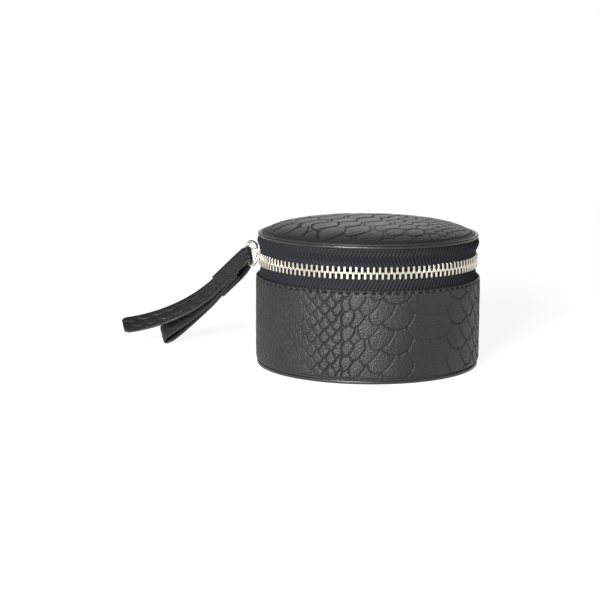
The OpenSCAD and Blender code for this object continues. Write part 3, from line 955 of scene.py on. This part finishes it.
def make_mirror_frame():
    """A leather ring round the mirror, domed, with a row of stitches."""
    lo, hi = size_of("mirror_frame")
    r0, r1, z0, z1 = MIRROR_R, hi[0], lo[2], hi[2]
    prof = [(r1, z) for z in (z0 + 0.55, z0 + 0.9, z1)] + [(r, z1) for r in np.linspace(r1 - 0.5, r0, 6)]
    prof += [(r0, z0 + 0.9), (r0, z0 + 0.45)]
    prof += [(r0 + (r1 - r0) * t, z0 + 0.45 - 0.45 * math.sin(math.pi * t) ** 0.6)
             for t in np.linspace(0.04, 0.96, 26)]
    ang = np.linspace(0, 360, 720, endpoint=False)
    r = np.array([p[0] for p in prof])
    under = np.array([p[1] < z0 + 0.44 for p in prof])
    line = r1 - 1.0                        # radius of the row of stitches
    cell = np.abs((ang / 360 * FRAME_STITCHES + 0.5) % 1 - 0.5)[:, None]
    hole = np.exp(-(np.clip(cell - 0.22, 0, 1) / 0.08) ** 2)
    dent = np.exp(-((r[None, :] - line) / 0.3) ** 2) * (0.12 + 0.2 * hole)
    obj = lathe("mirror_frame_leather", prof, ang, True, -dent * under[None, :])
    finish_piece(obj, "lid", M_EDGE, ["mirror_frame"])
    tubes = []
    for i in range(FRAME_STITCHES):
        mid_a, half = TAU * i / FRAME_STITCHES, 0.26 * TAU / FRAME_STITCHES
        pts = [(line * math.cos(mid_a + half * k), line * math.sin(mid_a + half * k),
                z0 + 0.22 + 0.25 * abs(k) ** 3) for k in np.linspace(-1, 1, 7)]
        tubes.append(tube(pts, 0.17, 6))
    finish_piece(join_grids("mirror_frame_thread", tubes), "lid", M_THREAD)


def make_inside():
    lined_band("base_wall_suede", "base_wall_lining", "base")
    lined_band("lid_wall_suede", "lid_wall_lining", "lid")
    lined_disc("base_floor_suede", "base_floor_lining", "base", 0.12)
    lined_disc("lid_suede", "lid_lining", "lid", 0.1, up=False)
    divider("divider_long", 0)
    divider("divider_cross", 1)
    make_ring_bed()
    make_lid_pad()
    for node in ("ring_roll_front", "ring_roll_middle", "ring_roll_back"):
        ring_roll(node)
    make_mirror_frame()


# ---------------------------------------------------------------- the CAD pieces that stay
def dress_cad():
    """The boards and the mirror keep their CAD shapes."""
    for node, mat in (("base_floor_board", M_BOARD), ("base_wall_board", M_BOARD), ("lid_board", M_BOARD),
                      ("lid_wall_board", M_BOARD), ("mirror_glass", M_MIRROR)):
        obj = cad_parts[node]
        obj.data.materials.clear()
        obj.data.materials.append(mat)


def make_slider():
    """The slider's body and bail, and the clamp that ends the zip."""
    cast_copy("slider_body", "slider_body_metal", "slider")
    cast_copy("slider_bail", "slider_bail_metal", "slider")
    prof = rounded_band(TOOTH_IN - 0.1, TOOTH_OUT + 0.1, ZIP_Z - 1.75, ZIP_Z + 1.2, 0.4, 6)
    stop = lathe("zip_end_clamp", prof, np.linspace(54.5, 57.8, 9), False)
    finish_piece(stop, "base", M_METAL, ["zip_end_stop"])


# ---------------------------------------------------------------- floor, light, camera
def stage():
    """A round pale floor in front of the white behind it."""
    radius, n = 0.8, 96
    me = bpy.data.meshes.new("floor")
    rim = [(radius * math.cos(TAU * k / n), radius * math.sin(TAU * k / n), 0) for k in range(n)]
    me.from_pydata(rim, [], [tuple(range(n))])
    me.materials.append(M_FLOOR)
    link(bpy.data.objects.new("floor", me))
    bpy.context.scene.world = studio()
    bpy.context.scene.view_settings.view_transform = "Standard"


def studio():
    """White at the horizon and below, as a paper sweep is, and darker overhead between the lights."""
    world = bpy.data.worlds.new("studio")
    world.use_nodes = True
    tree = world.node_tree
    coord = tree.nodes.new("ShaderNodeTexCoord")
    split = tree.nodes.new("ShaderNodeSeparateXYZ")
    ramp = tree.nodes.new("ShaderNodeValToRGB")
    tree.links.new(coord.outputs["Generated"], split.inputs[0])
    tree.links.new(split.outputs["Z"], ramp.inputs["Fac"])
    tree.links.new(ramp.outputs["Color"], tree.nodes["Background"].inputs["Color"])
    ramp.color_ramp.elements[0].position = 0.1
    ramp.color_ramp.elements[0].color = (1, 1, 1, 1)
    ramp.color_ramp.elements[1].position = 0.34
    ramp.color_ramp.elements[1].color = (SKY, SKY, SKY, 1)
    tree.nodes["Background"].inputs["Strength"].default_value = 1.0
    return world


def camera_axes():
    a, e = math.radians(CAM_AZ), math.radians(CAM_EL)
    back = Vector((math.sin(a) * math.cos(e), -math.cos(a) * math.cos(e), math.sin(e)))
    right = Vector((math.cos(a), math.sin(a), 0))
    return right, back.cross(right), back


def area_light(name, right, away, up, size, energy):
    """A soft light, placed by how far it is to the right, away and up from the case as the camera sees it."""
    a = math.radians(CAM_AZ)
    r = Vector((math.cos(a), math.sin(a), 0))
    b = Vector((-math.sin(a), math.cos(a), 0))
    data = bpy.data.lights.new(name, "AREA")
    data.shape = "DISK"
    data.size = size
    data.energy = energy
    obj = link(bpy.data.objects.new(name, data))
    obj.location = r * right + b * away + Vector((0, 0, up))
    obj.rotation_mode = "QUATERNION"
    obj.rotation_quaternion = (Vector((0, 0, 0.04)) - obj.location).to_track_quat("-Z", "Y")


def lights():
    area_light("key_left", -0.40, -1.12, 0.38, 0.42, 34.5)
    area_light("fill_right", 1.2, -0.5, 0.5, 0.6, 1.1)
    area_light("back", 0.1, 1.3, 0.62, 0.9, 2.9)


def camera():
    """A long lens, turned a little round its own axis, with the case right of the middle."""
    right, up, back = camera_axes()
    cam = bpy.data.cameras.new("camera")
    cam.sensor_width = 36.0
    cam.lens = 98.5
    cam.shift_x = -0.1128
    cam.shift_y = -0.002
    obj = link(bpy.data.objects.new("camera", cam))
    target = Vector((0, 0, 0.030))
    roll = math.radians(0.62)
    x = right * math.cos(roll) + up * math.sin(roll)
    y = up * math.cos(roll) - right * math.sin(roll)
    turn = Matrix((x, y, back)).transposed().to_4x4()
    obj.matrix_world = Matrix.Translation(target + back * CAM_DIST) @ turn
    bpy.context.scene.camera = obj


camera()
stage()
lights()
make_wall()
make_stitches()
make_foot()
make_tapes()
make_teeth()
make_hinge()
make_lid_leather()
make_piping()
make_ring()
make_strap()
make_inside()
make_slider()
dress_cad()
